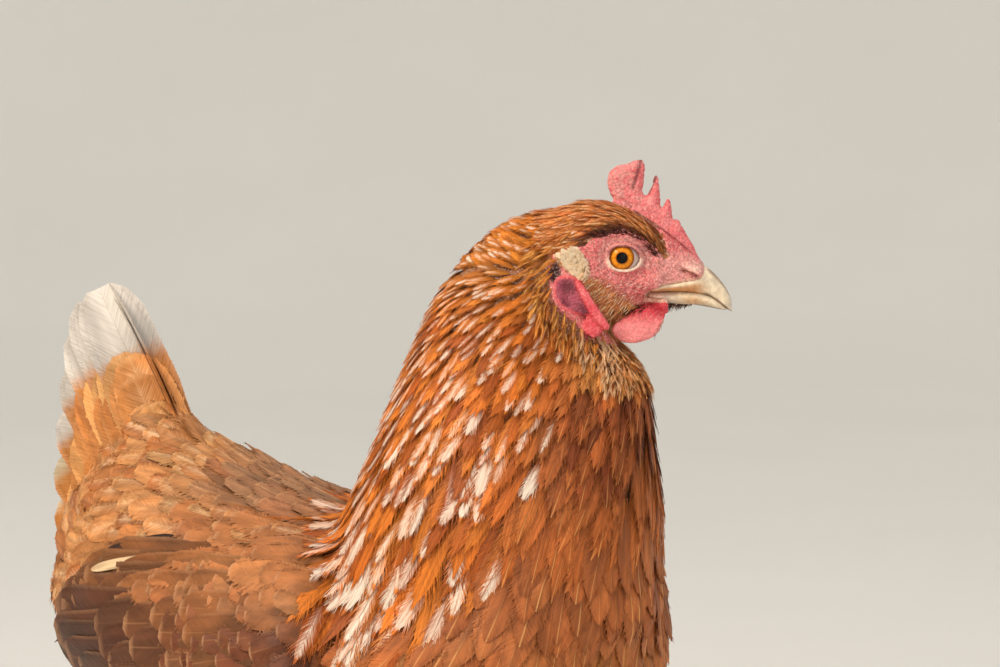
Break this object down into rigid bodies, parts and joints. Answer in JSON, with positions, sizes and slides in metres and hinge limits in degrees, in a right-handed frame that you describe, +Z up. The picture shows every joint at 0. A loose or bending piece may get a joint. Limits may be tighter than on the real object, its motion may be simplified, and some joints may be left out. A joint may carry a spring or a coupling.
{
  "type": "red-brown laying hen",
  "caption": "Standing red-brown laying hen with the head turned to its left: pale-streaked neck, single comb, wattles, folded wings, upright tail and scaled yellow legs.",
  "frame": {"origin": "centre of the overall bounding box on the floor plane, under the standing hen", "axes": "+X is the way the body faces, +Y is the hen's left, +Z is up; the head is turned 36 degrees from +X toward +Y"},
  "size_m": [0.29, 0.1832, 0.3764],
  "materials": {
    "body_feather": "soft rounded feathers, satin",
    "wing_feather": "smooth overlapping feathers, satin",
    "hackle_feather": "narrow glossy feathers with pale shafts",
    "tail_feather": "smooth feathers with white tips",
    "ear_feather": "short downy feathers",
    "red_skin": "pebbled bare skin, satin",
    "bill_horn": "smooth horn, semi-gloss",
    "claw_horn": "worn horn",
    "leg_scale": "dry scaled skin, matte",
    "eye": "wet gloss"
  },
  "bodies": {
    "root": {"beak_lower": "bill_horn", "beak_upper": "bill_horn", "claw_hind_left": "claw_horn", "claw_hind_right": "claw_horn", "claw_inner_left": "claw_horn", "claw_inner_right": "claw_horn", "claw_middle_left": "claw_horn", "claw_middle_right": "claw_horn", "claw_outer_left": "claw_horn", "claw_outer_right": "claw_horn", "comb": "red_skin", "ear_tuft_left": "ear_feather", "ear_tuft_right": "ear_feather", "earlobe_left": "red_skin", "earlobe_right": "red_skin", "eye_left": "eye", "eye_right": "eye", "head": "red_skin", "neck": "hackle_feather", "shank_left": "leg_scale", "shank_right": "leg_scale", "tail": "tail_feather", "thigh_left": "body_feather", "thigh_right": "body_feather", "toe_hind_left": "leg_scale", "toe_hind_right": "leg_scale", "toe_inner_left": "leg_scale", "toe_inner_right": "leg_scale", "toe_middle_left": "leg_scale", "toe_middle_right": "leg_scale", "toe_outer_left": "leg_scale", "toe_outer_right": "leg_scale", "torso": "body_feather", "wattle_left": "red_skin", "wattle_right": "red_skin", "wing_left": "wing_feather", "wing_right": "wing_feather"}
  },
  "joints": []
}
